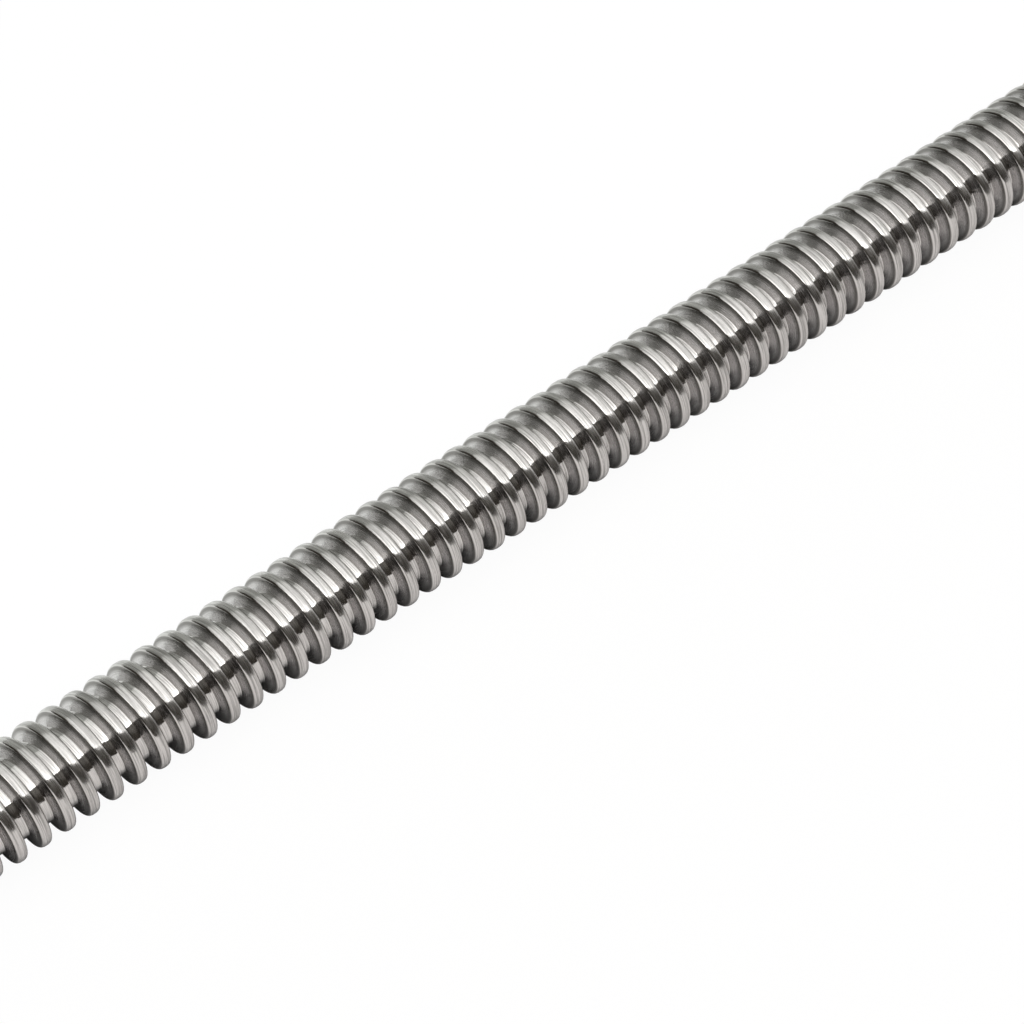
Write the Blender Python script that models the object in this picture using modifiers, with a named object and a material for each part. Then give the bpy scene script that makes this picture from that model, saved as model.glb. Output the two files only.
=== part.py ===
# Trapezoidal lead screw: one bright steel bar, 12 mm by 3 mm, single start, right hand.
# Metres, +Z up. The bar lies along X, centred on the origin, with its lowest lands on Z = 0.
#
# The thread is an open profile one lead long, swept up a helix by a Screw modifier and closed
# at both ends on the axis. A turned blank with chamfered ends then trims it to length, so the
# thread runs out through the chamfers as it does on a bar that was cut off and chamfered.

import math

import bmesh
import bpy

# Driving dimensions
NOMINAL_DIAMETER = 0.012
PITCH = 0.003
STARTS = 1
LENGTH = 0.200
FLANK_ANGLE = math.radians(30.0)
CREST_RELIEF = 0.0001
ROOT_CLEARANCE = 0.00035
END_FACE_DROP = 0.00025
CHAMFER_ANGLE = math.radians(45.0)

# Fineness of the turned and swept surfaces
THREAD_FACETS = 18
BLANK_FACETS = 40
BLANK_OVERSIZE = 0.001
WELD_DISTANCE = 0.000005
SMOOTH_ANGLE = math.radians(25.0)

# The basic profile has a tooth half a pitch thick on the pitch line, a quarter pitch below
# the nominal diameter. The crest is relieved and the root is cleared from there.
LEAD = PITCH * STARTS
CREST_RADIUS = NOMINAL_DIAMETER / 2 - CREST_RELIEF
PITCH_RADIUS = NOMINAL_DIAMETER / 2 - PITCH / 4
ROOT_RADIUS = NOMINAL_DIAMETER / 2 - PITCH / 2 - ROOT_CLEARANCE
FLANK_SLOPE = math.tan(FLANK_ANGLE / 2)
CREST_HALF = PITCH / 4 - (CREST_RADIUS - PITCH_RADIUS) * FLANK_SLOPE
ROOT_HALF = PITCH / 4 - (PITCH_RADIUS - ROOT_RADIUS) * FLANK_SLOPE

# The end faces lie inside the root, so each is a plain disc that the chamfer runs out from.
END_FACE_RADIUS = ROOT_RADIUS - END_FACE_DROP
BLANK_RADIUS = CREST_RADIUS + BLANK_OVERSIZE
CHAMFER_RUN = (BLANK_RADIUS - END_FACE_RADIUS) / math.tan(CHAMFER_ANGLE)

# Bright rolled steel
STEEL_COLOUR = (0.58, 0.57, 0.55, 1.0)
STEEL_ROUGHNESS = 0.28


def clear_scene():
    for obj in list(bpy.data.objects):
        bpy.data.objects.remove(obj, do_unlink=True)


def new_collection(name):
    collection = bpy.data.collections.new(name)
    bpy.context.scene.collection.children.link(collection)
    return collection


def new_steel():
    material = bpy.data.materials.new("bright_steel")
    material.use_nodes = True
    shader = material.node_tree.nodes["Principled BSDF"]
    shader.inputs["Base Color"].default_value = STEEL_COLOUR
    shader.inputs["Metallic"].default_value = 1.0
    shader.inputs["Roughness"].default_value = STEEL_ROUGHNESS
    return material


def profile_object(name, points, collection):
    """A chain of edges through (radius, height) points, for a Screw modifier about Z."""
    mesh = bpy.data.meshes.new(name)
    corners = [(radius, 0.0, height) for radius, height in points]
    links = [(i, i + 1) for i in range(len(corners) - 1)]
    mesh.from_pydata(corners, links, [])
    obj = bpy.data.objects.new(name, mesh)
    collection.objects.link(obj)
    return obj


def add_screw(obj, facets, turns=1, rise=0.0):
    screw = obj.modifiers.new("turned", "SCREW")
    screw.axis = "Z"
    screw.angle = math.tau
    screw.steps = facets
    screw.render_steps = facets
    screw.iterations = turns
    screw.screw_offset = rise
    screw.use_merge_vertices = rise == 0.0
    screw.merge_threshold = WELD_DISTANCE


def groove_points(top):
    """One pitch of the profile, from the middle of a root down to just above the next one."""
    crest_middle = top - PITCH / 2
    return [
        (ROOT_RADIUS, top - ROOT_HALF),
        (CREST_RADIUS, crest_middle + CREST_HALF),
        (CREST_RADIUS, crest_middle - CREST_HALF),
        (ROOT_RADIUS, top - PITCH + ROOT_HALF),
    ]


def thread_profile():
    points = [(ROOT_RADIUS, LEAD)]
    for start in range(STARTS):
        points += groove_points(LEAD - start * PITCH)
    points.append((ROOT_RADIUS, 0.0))
    return points


def close_on_axis(edited, at_height, below):
    """Draws one open end of the sweep together to a point on the axis."""
    rim = [
        edge
        for edge in edited.edges
        if edge.is_boundary and (edge.verts[0].co.z < at_height + LEAD * 1.5) == below
    ]
    drawn = bmesh.ops.extrude_edge_only(edited, edges=rim)["geom"]
    points = [item for item in drawn if isinstance(item, bmesh.types.BMVert)]
    bmesh.ops.pointmerge(edited, verts=points, merge_co=(0.0, 0.0, at_height))


def swept_thread(collection):
    """The thread as a closed body, at least a turn longer than the bar at both ends."""
    turns = math.ceil(LENGTH / LEAD) + 3
    sweep = profile_object("thread_sweep", thread_profile(), collection)
    add_screw(sweep, THREAD_FACETS, turns, LEAD)
    weld = sweep.modifiers.new("joined_turns", "WELD")
    weld.merge_threshold = WELD_DISTANCE
    graph = bpy.context.evaluated_depsgraph_get()
    mesh = bpy.data.meshes.new_from_object(sweep.evaluated_get(graph))
    bpy.data.objects.remove(sweep, do_unlink=True)

    height = (turns + 1) * LEAD
    edited = bmesh.new()
    edited.from_mesh(mesh)
    close_on_axis(edited, 0.0, True)
    close_on_axis(edited, height, False)
    bmesh.ops.recalc_face_normals(edited, faces=edited.faces)
    bmesh.ops.translate(edited, verts=edited.verts, vec=(0.0, 0.0, -height / 2))
    edited.to_mesh(mesh)
    edited.free()
    return mesh


def turned_blank(collection):
    """The bar's envelope: plain between its chamfers, a little larger than the crests."""
    half = LENGTH / 2
    points = [
        (0.0, half),
        (END_FACE_RADIUS, half),
        (BLANK_RADIUS, half - CHAMFER_RUN),
        (BLANK_RADIUS, CHAMFER_RUN - half),
        (END_FACE_RADIUS, -half),
        (0.0, -half),
    ]
    blank = profile_object("turned_blank", points, collection)
    add_screw(blank, BLANK_FACETS)
    blank.hide_render = True
    blank.display_type = "WIRE"
    return blank


def lead_screw(part_collection, cutter_collection):
    mesh = swept_thread(part_collection)
    mesh.name = "lead_screw"
    mesh.materials.clear()
    mesh.materials.append(new_steel())
    mesh.shade_smooth()
    mesh.set_sharp_from_angle(angle=SMOOTH_ANGLE)
    screw = bpy.data.objects.new("lead_screw", mesh)
    part_collection.objects.link(screw)

    blank = turned_blank(cutter_collection)
    trim = screw.modifiers.new("cut_to_length", "BOOLEAN")
    trim.operation = "INTERSECT"
    trim.solver = "EXACT"
    trim.object = blank

    # The bar lies down along X, turned half a facet so that it rests on flats of its lands.
    half_facet = math.pi / THREAD_FACETS
    for obj in (screw, blank):
        obj.rotation_mode = "ZYX"
        obj.rotation_euler = (0.0, math.pi / 2, half_facet)
        obj.location = (0.0, 0.0, CREST_RADIUS * math.cos(half_facet))


def main():
    clear_scene()
    lead_screw(new_collection("trapezoidal_lead_screw"), new_collection("cutters"))


main()
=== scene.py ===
import math

import bmesh
import bpy
from mathutils import Matrix, Vector


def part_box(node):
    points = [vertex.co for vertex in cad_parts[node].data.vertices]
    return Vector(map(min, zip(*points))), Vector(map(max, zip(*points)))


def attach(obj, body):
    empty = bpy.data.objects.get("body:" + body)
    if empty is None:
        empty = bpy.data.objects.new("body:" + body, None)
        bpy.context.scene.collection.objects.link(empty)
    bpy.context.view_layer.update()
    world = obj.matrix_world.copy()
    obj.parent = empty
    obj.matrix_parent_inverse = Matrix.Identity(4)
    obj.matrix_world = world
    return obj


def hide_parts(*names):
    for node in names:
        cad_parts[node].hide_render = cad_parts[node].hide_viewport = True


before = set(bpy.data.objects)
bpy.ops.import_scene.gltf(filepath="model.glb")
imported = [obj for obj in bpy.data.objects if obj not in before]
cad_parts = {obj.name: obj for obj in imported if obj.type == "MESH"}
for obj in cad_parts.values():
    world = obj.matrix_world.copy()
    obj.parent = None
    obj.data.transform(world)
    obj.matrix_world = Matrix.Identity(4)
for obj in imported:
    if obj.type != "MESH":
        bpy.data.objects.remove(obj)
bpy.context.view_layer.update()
print("frame loaded")

mm = 0.001


def hexToLinear(code):  # an sRGB hex colour as the linear colour that a shader takes
    parts = [int(code[i:i + 2], 16) / 255 for i in (1, 3, 5)]
    return [c / 12.92 if c <= 0.04045 else ((c + 0.055) / 1.055) ** 2.4 for c in parts] + [1.0]


def addNode(tree, kind, inputs=None, **settings):  # an input is a value or the output that it is linked to
    node = tree.nodes.new(kind)
    for name, value in settings.items():
        setattr(node, name, value)
    for socket, value in (inputs or {}).items():
        if isinstance(value, bpy.types.NodeSocket):
            tree.links.new(value, node.inputs[socket])
        else:
            node.inputs[socket].default_value = value
    return node


def calculate(tree, operation, *values):
    return addNode(tree, "ShaderNodeMath", dict(enumerate(values)), operation=operation).outputs[0]


def calculateVector(tree, operation, *values, **named):
    inputs = {**dict(enumerate(values)), **named}
    return addNode(tree, "ShaderNodeVectorMath", inputs, operation=operation).outputs[0]


def remap(tree, value, before, after=(0.0, 1.0), smooth=False):  # from one pair of limits to another
    names = ("From Min", "From Max", "To Min", "To Max")
    inputs = {"Value": value, **dict(zip(names, (*before, *after)))}
    kind = "SMOOTHSTEP" if smooth else "LINEAR"
    return addNode(tree, "ShaderNodeMapRange", inputs, interpolation_type=kind).outputs[0]


def blend(tree, share, first, second):  # two numbers
    return addNode(tree, "ShaderNodeMix", {0: share, 2: first, 3: second}).outputs[0]


def blendColours(tree, share, first, second):  # two colours, each a hex code or an output
    first, second = (hexToLinear(c) if isinstance(c, str) else c for c in (first, second))
    return addNode(tree, "ShaderNodeMix", {0: share, 6: first, 7: second}, data_type="RGBA").outputs[2]


def addNoise(tree, place, octaves, finer):  # finer is each octave's share of the one before
    return addNode(tree, "ShaderNodeTexNoise", {
        "Vector": place, "Scale": 1.0, "Detail": octaves, "Roughness": finer}).outputs[0]


def newMaterial(name):
    material = bpy.data.materials.new(name)
    material.use_nodes = True
    material.node_tree.nodes.clear()
    return material, material.node_tree


# Camera: a long lens above the bar's left end, which crosses the picture from low left to high right
view = {
    "focalLength": 126.6,  # mm
    "sensor": 36.0,  # mm
    "distance": 395.35,  # mm, from the aim point
    "height": 49.44,  # degrees above the floor
    "turn": 40.78,  # degrees between the bar and the picture's horizontal
    "aimAlong": -0.68,  # mm along the bar
    "aimAcross": -0.39,  # mm across it
    "nearest": 0.01,  # m
    "farthest": 20.0,
}


def makeCamera():
    data = bpy.data.cameras.new("studioCamera")
    data.sensor_width = view["sensor"]
    data.lens = view["focalLength"]
    data.clip_start, data.clip_end = view["nearest"], view["farthest"]
    camera = bpy.data.objects.new("studioCamera", data)
    bpy.context.scene.collection.objects.link(camera)
    height, turn = math.radians(view["height"]), math.radians(view["turn"])
    aim = Vector((view["aimAlong"] * mm, view["aimAcross"] * mm, 0.0))
    back = Vector((
        -math.cos(height) * math.sin(turn),
        -math.cos(height) * math.cos(turn),
        math.sin(height),
    ))
    camera.location = aim + back * view["distance"] * mm
    camera.rotation_euler = (-back).to_track_quat("-Z", "Y").to_euler()
    bpy.context.scene.camera = camera


makeCamera()
print("camera placed")

# Lead screw: trapezoidal thread, rolled on a bright bar that was cut off and chamfered at both ends
nodeLow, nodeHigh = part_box("lead_screw")
screw = {  # mm, unless a comment says otherwise
    "length": (nodeHigh.x - nodeLow.x) / mm,
    "crestRadius": (nodeHigh.y - nodeLow.y) / 2 / mm,
    "pitch": 3.0,
    "nominalRadius": 6.0,
    "rootRadius": 4.15,
    "flankAngle": 30.0,  # degrees between the two flanks of a groove
    "crownFrom": 0.12,  # half the width of the crest's level middle
    "crownTilt": 13.0,  # degrees by which the crest leans where its rim's rounding starts
    "crestRound": 0.45,
    "rootRound": 0.12,
    "roundSteps": 4,  # edges in each rounding
    "facets": 48,  # round one turn
    "spareTurns": 3,  # that the ends' cuts take off
    "seamMerge": 0.001,  # gap that closes where a turned shape meets itself
    "leadWeld": 0.005,  # gap that closes between one turn and the next
    "lowestCrest": 10.0,  # degrees round from straight down, where a crest crosses the middle
    "endFaceRadius": 3.9,
    "blankRadius": 6.9,
    "blankFacets": 120,
    "sharpFrom": 35.0,  # degrees between two faces
    "axisHeight": (nodeHigh.z + nodeLow.z) / 2 / mm,
}


def threadProfile():
    # One pitch of the outline as (radius, height), from a root's middle down to the next one's
    pitch, slope = screw["pitch"], math.tan(math.radians(screw["flankAngle"] / 2))
    pitchRadius = screw["nominalRadius"] - pitch / 4
    crest, root = screw["crestRadius"], screw["rootRadius"]
    crestHalf = pitch / 4 - (crest - pitchRadius) * slope
    rootHalf = pitch / 4 - (pitchRadius - root) * slope
    flank, tilt = math.radians(90 - screw["flankAngle"] / 2), math.radians(screw["crownTilt"])
    steps = screw["roundSteps"]

    def arc(size, first, last):  # (drop, run) from the point where the outline leans by first
        leans = [first + (last - first) * i / steps for i in range(steps + 1)]
        return [
            (size * (math.cos(first) - math.cos(lean)), size * (math.sin(lean) - math.sin(first)))
            for lean in leans
        ]

    # The crest's crown reaches the small rounding where that meets the flank's line
    edge = crestHalf - screw["crestRound"] * math.tan(flank / 2)
    crownRun = edge + screw["crestRound"] * math.sin(tilt) - screw["crownFrom"]
    crown = arc(crownRun / math.sin(tilt), 0, tilt)
    corner = arc(screw["crestRound"], tilt, flank)
    crownDrop, cornerDrop = crown[-1][0], screw["crestRound"] * (1 - math.cos(tilt))
    crestSide = [(crest - drop, screw["crownFrom"] + run) for drop, run in crown]
    crestSide += [
        (crest - crownDrop - drop, screw["crownFrom"] + crownRun + run + (crownDrop - cornerDrop) * slope)
        for drop, run in corner[1:]
    ]
    flat = rootHalf - screw["rootRound"] * math.tan(flank / 2)
    rootSide = [(root + drop, flat + run) for drop, run in arc(screw["rootRound"], 0, flank)]
    points = [(root, pitch)] + [(r, pitch - h) for r, h in rootSide]
    points += [(r, pitch / 2 + h) for r, h in crestSide[::-1]] + [(crest, pitch / 2)]
    points += [(r, pitch / 2 - h) for r, h in crestSide]
    points += [(r, h) for r, h in rootSide[::-1]] + [(root, 0.0)]
    return [(r * mm, h * mm) for r, h in points]


def spin(name, points, facets, turns=1, rise=0.0):
    # The points turned about Z by a Screw modifier, as a mesh
    mesh = bpy.data.meshes.new(name)
    mesh.from_pydata([(r, 0, h) for r, h in points], [(i, i + 1) for i in range(len(points) - 1)], [])
    piece = bpy.data.objects.new(name, mesh)
    bpy.context.scene.collection.objects.link(piece)
    sweep = piece.modifiers.new("sweep", "SCREW")
    sweep.steps = sweep.render_steps = facets
    sweep.iterations = turns
    sweep.screw_offset = rise
    sweep.use_merge_vertices = rise == 0.0
    sweep.merge_threshold = screw["seamMerge"] * mm
    if rise:
        weld = piece.modifiers.new("weld", "WELD")
        weld.merge_threshold = screw["leadWeld"] * mm
    made = bpy.data.meshes.new_from_object(piece.evaluated_get(bpy.context.evaluated_depsgraph_get()))
    bpy.data.objects.remove(piece)
    return made


def closeEnds(mesh, top):
    # Draws both open ends of the sweep together on the axis, and puts its middle at the origin
    work = bmesh.new()
    work.from_mesh(mesh)
    reach = top / 4  # past either end's rim, and short of the other's
    for height in (0.0, top):
        rim = [e for e in work.edges if e.is_boundary and abs(e.verts[0].co.z - height) < reach]
        drawn = bmesh.ops.extrude_edge_only(work, edges=rim)["geom"]
        tips = [v for v in drawn if isinstance(v, bmesh.types.BMVert)]
        bmesh.ops.pointmerge(work, verts=tips, merge_co=(0, 0, height))
    bmesh.ops.recalc_face_normals(work, faces=work.faces)
    bmesh.ops.translate(work, verts=work.verts, vec=(0, 0, -top / 2))
    work.to_mesh(mesh)
    work.free()


def makeScrew(threadSteel, endSteel):
    pitch = screw["pitch"] * mm
    turns = math.ceil(screw["length"] / screw["pitch"]) + screw["spareTurns"]
    thread = spin("thread", threadProfile(), screw["facets"], turns, pitch)
    closeEnds(thread, (turns + 1) * pitch)  # the profile is itself one pitch tall
    thread.materials.append(threadSteel)
    thread.materials.append(endSteel)

    # What the lathe leaves of it: square ends with chamfers of 45 degrees, and all of the thread between
    half = screw["length"] * mm / 2
    face, blank = screw["endFaceRadius"] * mm, screw["blankRadius"] * mm
    run = blank - face
    outline = [(0, half), (face, half), (blank, half - run), (blank, run - half), (face, -half), (0, -half)]
    envelope = spin("envelope", outline, screw["blankFacets"])
    envelope.materials.append(threadSteel)
    envelope.materials.append(endSteel)
    for polygon in envelope.polygons:
        polygon.material_index = 1

    piece = bpy.data.objects.new("rolled_screw", thread)
    cutter = bpy.data.objects.new("envelope", envelope)
    for thing in (piece, cutter):
        bpy.context.scene.collection.objects.link(thing)
    trim = piece.modifiers.new("trim", "BOOLEAN")
    trim.operation, trim.solver, trim.object = "INTERSECT", "MANIFOLD", cutter
    mesh = bpy.data.meshes.new_from_object(piece.evaluated_get(bpy.context.evaluated_depsgraph_get()))
    piece.modifiers.clear()
    piece.data = mesh
    bpy.data.objects.remove(cutter)

    # Smooth all over, but sharp where a turned end cuts the thread
    mesh.shade_smooth()
    mesh.set_sharp_from_angle(angle=math.radians(screw["sharpFrom"]))
    work = bmesh.new()
    work.from_mesh(mesh)
    for edge in work.edges:
        if len({face.material_index for face in edge.link_faces}) > 1:
            edge.smooth = False
    bmesh.ops.rotate(work, verts=work.verts, cent=(0, 0, 0), matrix=laidDown())
    work.to_mesh(mesh)
    work.free()
    piece.location.z = screw["axisHeight"] * mm
    return piece


def laidDown():  # along X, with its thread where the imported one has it
    roll = Matrix.Rotation(math.radians(screw["lowestCrest"]), 3, "Z")
    return Matrix.Rotation(math.pi / 2, 3, "Y") @ roll


def makeSteel(name, lookOf):
    # A bright bare metal whose highlights stretch square to the lines that its tool left round the bar
    square = 0.25  # of a turn, from the tangent round the bar
    material, tree = newMaterial(name)
    colour, rough, height, anisotropy = lookOf(tree)
    bump = addNode(tree, "ShaderNodeBump", {"Strength": 1.0, "Distance": mm, "Height": height}).outputs[0]
    tangent = addNode(tree, "ShaderNodeTangent", direction_type="RADIAL", axis="X").outputs[0]
    shader = addNode(tree, "ShaderNodeBsdfPrincipled", {
        "Base Color": colour, "Metallic": 1.0, "Roughness": rough, "Normal": bump,
        "Anisotropic": anisotropy, "Anisotropic Rotation": square, "Tangent": tangent})
    addNode(tree, "ShaderNodeOutputMaterial", {"Surface": shader.outputs[0]})
    return material


def placeInMm(tree):
    # Sockets for a place in mm, its part square to the axis, and that part's length
    place = addNode(tree, "ShaderNodeTexCoord").outputs["Object"]
    inMm = calculateVector(tree, "SCALE", place, Scale=1 / mm)
    flat = calculateVector(tree, "MULTIPLY", inMm, (0, 1, 1))
    radius = addNode(tree, "ShaderNodeVectorMath", {0: flat}, operation="LENGTH").outputs["Value"]
    return inMm, flat, radius


def threadPlace(tree):
    # Sockets for mm from the axis, across the tooth from its middle, and along the helix
    inMm, flat, radius = placeInMm(tree)
    x, y, z = addNode(tree, "ShaderNodeSeparateXYZ", {0: inMm}).outputs
    angle = calculate(tree, "ARCTAN2", z, y)
    turn = calculate(tree, "MULTIPLY_ADD", angle, 1 / math.tau, (90 - screw["lowestCrest"]) / 360)
    turns = calculate(tree, "MULTIPLY", x, 1 / screw["pitch"])
    ahead = calculate(tree, "SUBTRACT", turns, turn)
    whole = calculate(tree, "ROUND", ahead)
    across = calculate(tree, "MULTIPLY", calculate(tree, "SUBTRACT", ahead, whole), screw["pitch"])
    wound = calculate(tree, "ADD", whole, turn)
    girth = math.tau * (screw["crestRadius"] + screw["rootRadius"]) / 2
    return radius, across, calculate(tree, "MULTIPLY", wound, girth)


# Cold-rolled carbon steel: the dies burnish the roots and flanks, which mirror the studio, while the metal
# that rises into the crests stays duller between two bright rims, with painted shade as a dark line in the
# fold under each of them, and all of it is drawn out in lines round the bar
rolled = {
    "root": "#d4d2cf",
    "flank": "#cecccb",
    "rim": "#cdcbc8",
    # painted shade: the dark line in the fold under each crest rim
    "foldShade": "#82807d",
    "crest": "#c9c7c4",
    "dull": "#8a8885",
    "rootRough": 0.13,
    "flankRough": 0.24,
    "crestRough": 0.23,
    "rimRough": 0.07,
    "anisotropy": 1.0,
    # Where each zone starts and where it is full, in mm below the crest or above the root
    "middleAcross": (0.56, 0.42),  # this one in mm from the tooth's middle
    "middleBelow": (0.14, 0.08),
    "rimBelow": (0.38, 0.3),
    "foldShadeBelow": (0.95, 0.4),
    "foldShadeTopBelow": (0.16, 0.24),
    "flankAbove": (0.03, 0.12),
    "flankRoughAbove": (0.1, 0.4),
    # The dies' lines, and ripples that cross them, in mm
    "lineWidth": 0.13,
    "lineLength": 5.0,
    "lineDepth": 0.014,
    "lineShallow": 0.08,  # share of that depth in the groove
    "lineNoise": (2.0, 0.6),  # octaves, and each one's share of the one before
    "rippleLength": 0.45,  # round the bar
    "rippleWidth": 2.5,
    "rippleDepth": 0.008,
    "rippleBelow": 0.014,  # the same in the groove
    "rippleNoise": (1.0, 0.5),
    # Roughness in the smoothest and the roughest lines, as shares of the place's own
    "smoothest": 0.8,
    "roughestBelow": 1.2,
    "roughestCrest": 1.6,
    "roughLines": (0.3, 0.7),  # the lines' noise, from the smoothest to the roughest
    # Shares of the dull colour in a worn line
    "wornRoot": 0.6,
    "wornFlank": 0.2,
    "wornCrest": 0.72,
    "wornLines": (0.42, 0.62),  # the lines' noise, from not worn to worn
}


def rolledSteel(tree):
    radius, across, along = threadPlace(tree)

    def below(name):  # the radii where a zone under the crest starts and is full
        return [screw["crestRadius"] - distance for distance in rolled[name]]

    def above(name):
        return [screw["rootRadius"] + distance for distance in rolled[name]]

    grain = addNode(tree, "ShaderNodeCombineXYZ", {0: across, 1: radius, 2: along}).outputs[0]
    fine, long = 1 / rolled["lineWidth"], 1 / rolled["lineLength"]
    drawn = calculateVector(tree, "MULTIPLY", grain, (fine, fine, long))
    lines = addNoise(tree, drawn, *rolled["lineNoise"])
    wide, short = 1 / rolled["rippleWidth"], 1 / rolled["rippleLength"]
    rippled = calculateVector(tree, "MULTIPLY", grain, (wide, wide, short))
    ripple = addNoise(tree, rippled, *rolled["rippleNoise"])

    # Shares of the crest's dull middle, of its rims, of the painted shade under them, and of all that isn't
    # root
    middle = remap(tree, calculate(tree, "ABSOLUTE", across), rolled["middleAcross"], smooth=True)
    crest = calculate(tree, "MULTIPLY", middle, remap(tree, radius, below("middleBelow")))
    rim = remap(tree, radius, below("rimBelow"))
    # Painted shade along the fold under each rim
    foldShadeStart = remap(tree, radius, below("foldShadeBelow"), smooth=True)
    foldShade = calculate(tree, "MULTIPLY", foldShadeStart, remap(tree, radius, below("foldShadeTopBelow"), smooth=True))
    flank = remap(tree, radius, above("flankAbove"))

    rough = remap(tree, radius, above("flankRoughAbove"), (rolled["rootRough"], rolled["flankRough"]))
    rough = blend(tree, rim, rough, rolled["rimRough"])
    rough = blend(tree, crest, rough, rolled["crestRough"])
    most = remap(tree, crest, (0.0, 1.0), (rolled["roughestBelow"], rolled["roughestCrest"]))
    uneven = remap(tree, lines, rolled["roughLines"], (rolled["smoothest"], most))
    rough = calculate(tree, "MULTIPLY", rough, uneven)

    worn = remap(tree, lines, rolled["wornLines"])
    wear = remap(tree, flank, (0.0, 1.0), (rolled["wornRoot"], rolled["wornFlank"]))
    wear = blend(tree, crest, wear, rolled["wornCrest"])
    colour = blendColours(tree, flank, rolled["root"], rolled["flank"])
    colour = blendColours(tree, rim, colour, rolled["rim"])
    colour = blendColours(tree, crest, colour, rolled["crest"])
    colour = blendColours(tree, calculate(tree, "MULTIPLY", worn, wear), colour, rolled["dull"])
    # paints the dark shade line under each rim
    colour = blendColours(tree, foldShade, colour, rolled["foldShade"])

    shallow = rolled["lineShallow"] * rolled["lineDepth"]
    depth = remap(tree, crest, (0.0, 1.0), (shallow, rolled["lineDepth"]))
    swell = remap(tree, crest, (0.0, 1.0), (rolled["rippleBelow"], rolled["rippleDepth"]))
    height = calculate(tree, "MULTIPLY_ADD", ripple, swell, calculate(tree, "MULTIPLY", lines, depth))
    return colour, rough, height, rolled["anisotropy"]


# The ends: faced and chamfered in a lathe, whose tool leaves fine rings that stretch each highlight inwards
turned = {
    "colour": "#c3c0bc",
    "dull": "#94918d",
    "smooth": 0.2,
    "rough": 0.34,
    "anisotropy": 0.7,
    "ringWidth": 0.08,  # mm
    "ringChange": 0.35,  # how far a ring changes on its way round
    "ringDepth": 0.012,  # mm
    "ringNoise": (1.0, 0.5),
    "dullRings": (0.35, 0.7),  # the rings' noise, from bright to dull
}


def turnedSteel(tree):
    inMm, flat, radius = placeInMm(tree)
    way = calculateVector(tree, "NORMALIZE", flat)
    change = calculateVector(tree, "SCALE", way, Scale=turned["ringChange"])
    out = calculate(tree, "MULTIPLY", radius, 1 / turned["ringWidth"])
    outward = addNode(tree, "ShaderNodeCombineXYZ", {0: out}).outputs[0]
    rings = addNoise(tree, calculateVector(tree, "ADD", change, outward), *turned["ringNoise"])
    shade = remap(tree, rings, turned["dullRings"])
    colour = blendColours(tree, shade, turned["colour"], turned["dull"])
    rough = remap(tree, shade, (0.0, 1.0), (turned["smooth"], turned["rough"]))
    height = calculate(tree, "MULTIPLY", rings, turned["ringDepth"])
    return colour, rough, height, turned["anisotropy"]


piece = makeScrew(
    makeSteel("cold rolled carbon steel", rolledSteel), makeSteel("turned carbon steel", turnedSteel))
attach(piece, "root")
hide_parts("lead_screw")
print("screw made:", sum(len(p.vertices) - 2 for p in piece.data.polygons), "triangles")

# Studio: white paper, a long softbox overhead that is brightest at the camera's side and to the left, a
# small one at the right, and a dark room that is lighter high up in front and grey behind
studio = {
    "floorSize": 6.0,  # m
    "floorHeight": -0.09,  # mm, where the round crests touch
    "paper": "#eeebeb",
    "paperPaintedLighter": "#f7faf9",
    "paperTurns": (-0.01, 0.02),  # m across the bar, from the front's tint to the paper painted lighter behind
    # painted shade under the bar, seen only in the steel's reflections
    "paintedShadeUnder": "#808080",
    "shadeAcross": (0.0066, 0.0032),  # m from the bar's middle, from no shade to all of it
    "shadePastEnds": 0.002,  # m on either side of each end, in which it fades
    "paperLift": 0.95,  # share of plain white that the camera sees the paper as
    "softboxPlace": (-0.2, 0.02, 1.0),  # m
    "softboxSize": (2.8, 1.86),  # m
    # How bright it is from its near edge to its far one, and times those, from its left to its right
    "softboxDeep": (
        (0.0, 3.6), (0.035, 3.3), (0.09, 2.2), (0.3, 1.64),
        (0.6, 1.32), (0.76, 0.78), (0.9, 0.56), (1.0, 0.4),
    ),
    "softboxAlong": ((0.0, 1.6), (0.2, 1.4), (0.38, 1.15), (0.6, 1.0), (1.0, 1.0)),
    "sideboxPlace": (0.5, -0.05, 0.2),  # m
    "sideboxSize": (0.5, 0.24),  # m
    "sidebox": 1.2,  # how bright, where the softbox's curves say 1
    "dark": "#403c37",
    "front": "#74716d",
    "wall": "#bec0bc",
    # Parts of a direction of length 1, from where each starts to where it is full
    "wallBehind": (0.2, 0.5),
    "wallRight": (-0.45, -0.15),
    "frontBefore": (-0.35, -0.65),
    "frontAbove": (0.2, 0.6),
}
white = hexToLinear("#ffffff")


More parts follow.
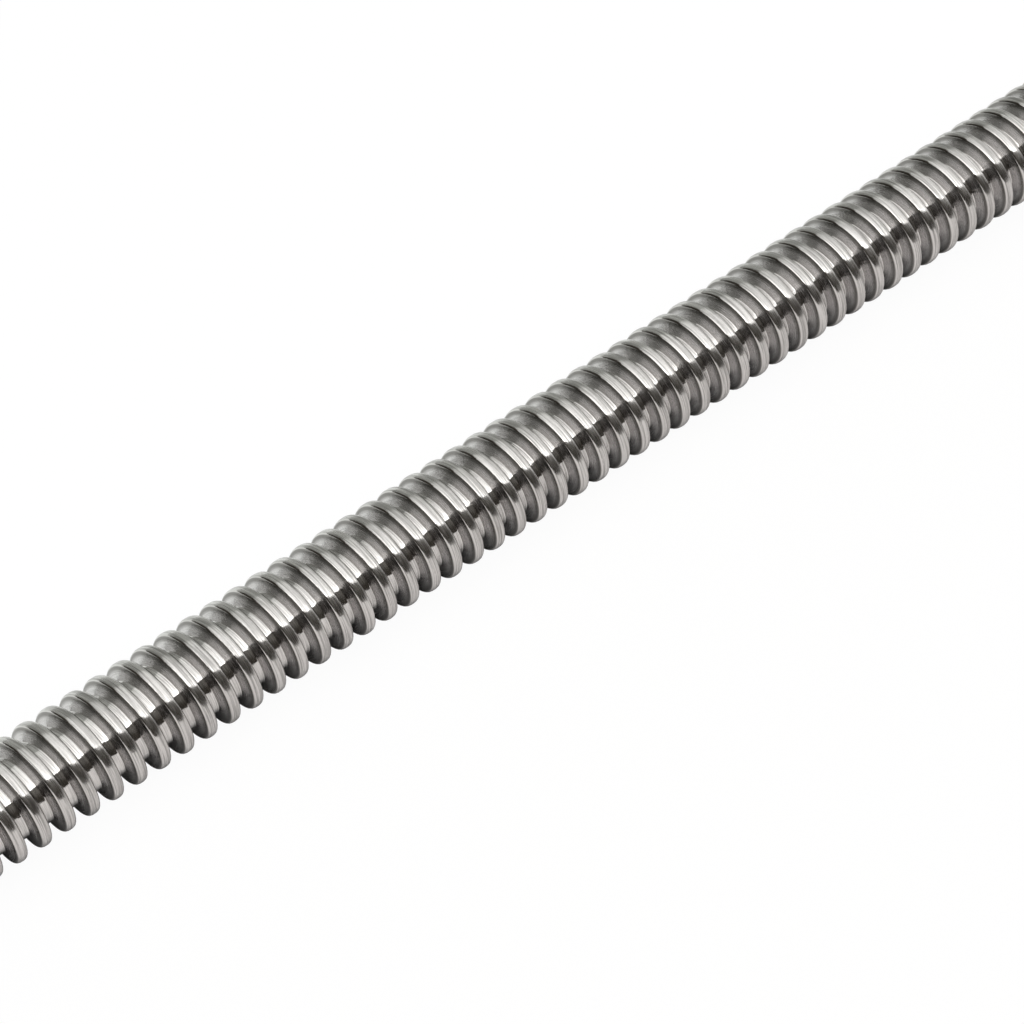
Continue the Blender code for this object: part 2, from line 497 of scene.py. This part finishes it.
def makeFloor():
    mesh = bpy.data.meshes.new("floor")
    work = bmesh.new()
    bmesh.ops.create_grid(work, x_segments=1, y_segments=1, size=studio["floorSize"] / 2)
    work.to_mesh(mesh)
    work.free()
    floor = bpy.data.objects.new("floor", mesh)
    floor.location.z = studio["floorHeight"] * mm
    bpy.context.scene.collection.objects.link(floor)

    # Matt white paper: burnt out to the camera but for a trace of the bar's shade, and seen in full by the
    # steel, which mirrors it all round its lower side
    material, tree = newMaterial("white paper sweep")
    path = addNode(tree, "ShaderNodeLightPath")
    spot = addNode(tree, "ShaderNodeTexCoord").outputs["Object"]
    place = addNode(tree, "ShaderNodeSeparateXYZ", {0: spot})
    # paper painted lighter behind the bar than in front of it
    behind = remap(tree, place.outputs["Y"], studio["paperTurns"])
    tone = blendColours(tree, behind, studio["paper"], studio["paperPaintedLighter"])

    # Deep shade painted on the paper under the bar, which only the steel's own reflections show
    half, past = screw["length"] * mm / 2, studio["shadePastEnds"]
    paintedShade = path.outputs["Is Glossy Ray"]
    for axis, limits in (("X", (half + past, half - past)), ("Y", studio["shadeAcross"])):
        out = calculate(tree, "ABSOLUTE", place.outputs[axis])
        paintedShade = calculate(tree, "MULTIPLY", paintedShade, remap(tree, out, limits))
    tone = blendColours(tree, paintedShade, tone, studio["paintedShadeUnder"])

    diffuse = addNode(tree, "ShaderNodeBsdfDiffuse", {"Color": tone})
    glow = addNode(tree, "ShaderNodeEmission", {"Color": white, "Strength": 1.0})
    lift = blend(tree, path.outputs["Is Camera Ray"], 0.0, studio["paperLift"])
    both = addNode(tree, "ShaderNodeMixShader", {0: lift, 1: diffuse.outputs[0], 2: glow.outputs[0]})
    addNode(tree, "ShaderNodeOutputMaterial", {"Surface": both.outputs[0]})
    mesh.materials.append(material)


def addRamp(tree, value, stops):  # a curve through (place, value) stops
    most = max(height for place, height in stops)
    ramp = addNode(tree, "ShaderNodeValToRGB", {"Fac": value})
    marks = ramp.color_ramp.elements
    while len(marks) < len(stops):
        marks.new(0.5)  # anywhere, since each is placed next
    for mark, (place, height) in zip(marks, stops):
        mark.position = place
        mark.color = [height / most] * 3 + [1.0]
    return calculate(tree, "MULTIPLY", ramp.outputs[0], most)


def addLamp(name, place, size, brightness):
    width, depth = size
    data = bpy.data.lights.new(name, "AREA")
    data.shape = "RECTANGLE"
    data.size, data.size_y = width, depth
    data.energy = brightness * math.pi * width * depth  # so that a larger one is as bright to look at
    lamp = bpy.data.objects.new(name, data)
    lamp.location = place
    lamp.visible_camera = False
    bpy.context.scene.collection.objects.link(lamp)
    return lamp


def makeSoftbox():
    lamp = addLamp("softbox", studio["softboxPlace"], studio["softboxSize"], 1.0)  # its curves do the rest
    lamp.data.use_nodes = True
    tree = lamp.data.node_tree
    tree.nodes.clear()
    place = addNode(tree, "ShaderNodeNewGeometry")
    across = addNode(tree, "ShaderNodeSeparateXYZ", {0: place.outputs["Parametric"]})
    along = addRamp(tree, across.outputs["X"], studio["softboxAlong"])
    deep = addRamp(tree, across.outputs["Y"], studio["softboxDeep"])
    glow = addNode(tree, "ShaderNodeEmission", {"Strength": calculate(tree, "MULTIPLY", along, deep)})
    addNode(tree, "ShaderNodeOutputLight", {"Surface": glow.outputs[0]})


def makeSidebox():
    lamp = addLamp("sidebox", studio["sideboxPlace"], studio["sideboxSize"], studio["sidebox"])
    lamp.rotation_euler = (math.pi / 2, 0, math.pi / 2)  # upright, facing along the bar


def makeWorld():
    world = bpy.data.worlds.new("studio")
    bpy.context.scene.world = world
    world.use_nodes = True
    tree = world.node_tree
    tree.nodes.clear()
    way = addNode(tree, "ShaderNodeTexCoord")
    side = addNode(tree, "ShaderNodeSeparateXYZ", {0: way.outputs["Generated"]})
    behind = remap(tree, side.outputs["Y"], studio["wallBehind"], smooth=True)
    right = remap(tree, side.outputs["X"], studio["wallRight"], smooth=True)
    before = remap(tree, side.outputs["Y"], studio["frontBefore"], smooth=True)
    above = remap(tree, side.outputs["Z"], studio["frontAbove"], smooth=True)
    colour = blendColours(tree, calculate(tree, "MULTIPLY", behind, right), studio["dark"], studio["wall"])
    colour = blendColours(tree, calculate(tree, "MULTIPLY", before, above), colour, studio["front"])
    room = addNode(tree, "ShaderNodeBackground", {"Color": colour, "Strength": 1.0})
    plain = addNode(tree, "ShaderNodeBackground", {"Color": white, "Strength": 1.0})
    path = addNode(tree, "ShaderNodeLightPath")
    both = addNode(tree, "ShaderNodeMixShader", {
        0: path.outputs["Is Camera Ray"], 1: room.outputs[0], 2: plain.outputs[0]})
    addNode(tree, "ShaderNodeOutputWorld", {"Surface": both.outputs[0]})


makeFloor()
makeSoftbox()
makeSidebox()
makeWorld()
bpy.context.scene.view_settings.view_transform = "Standard"
print("studio lit")
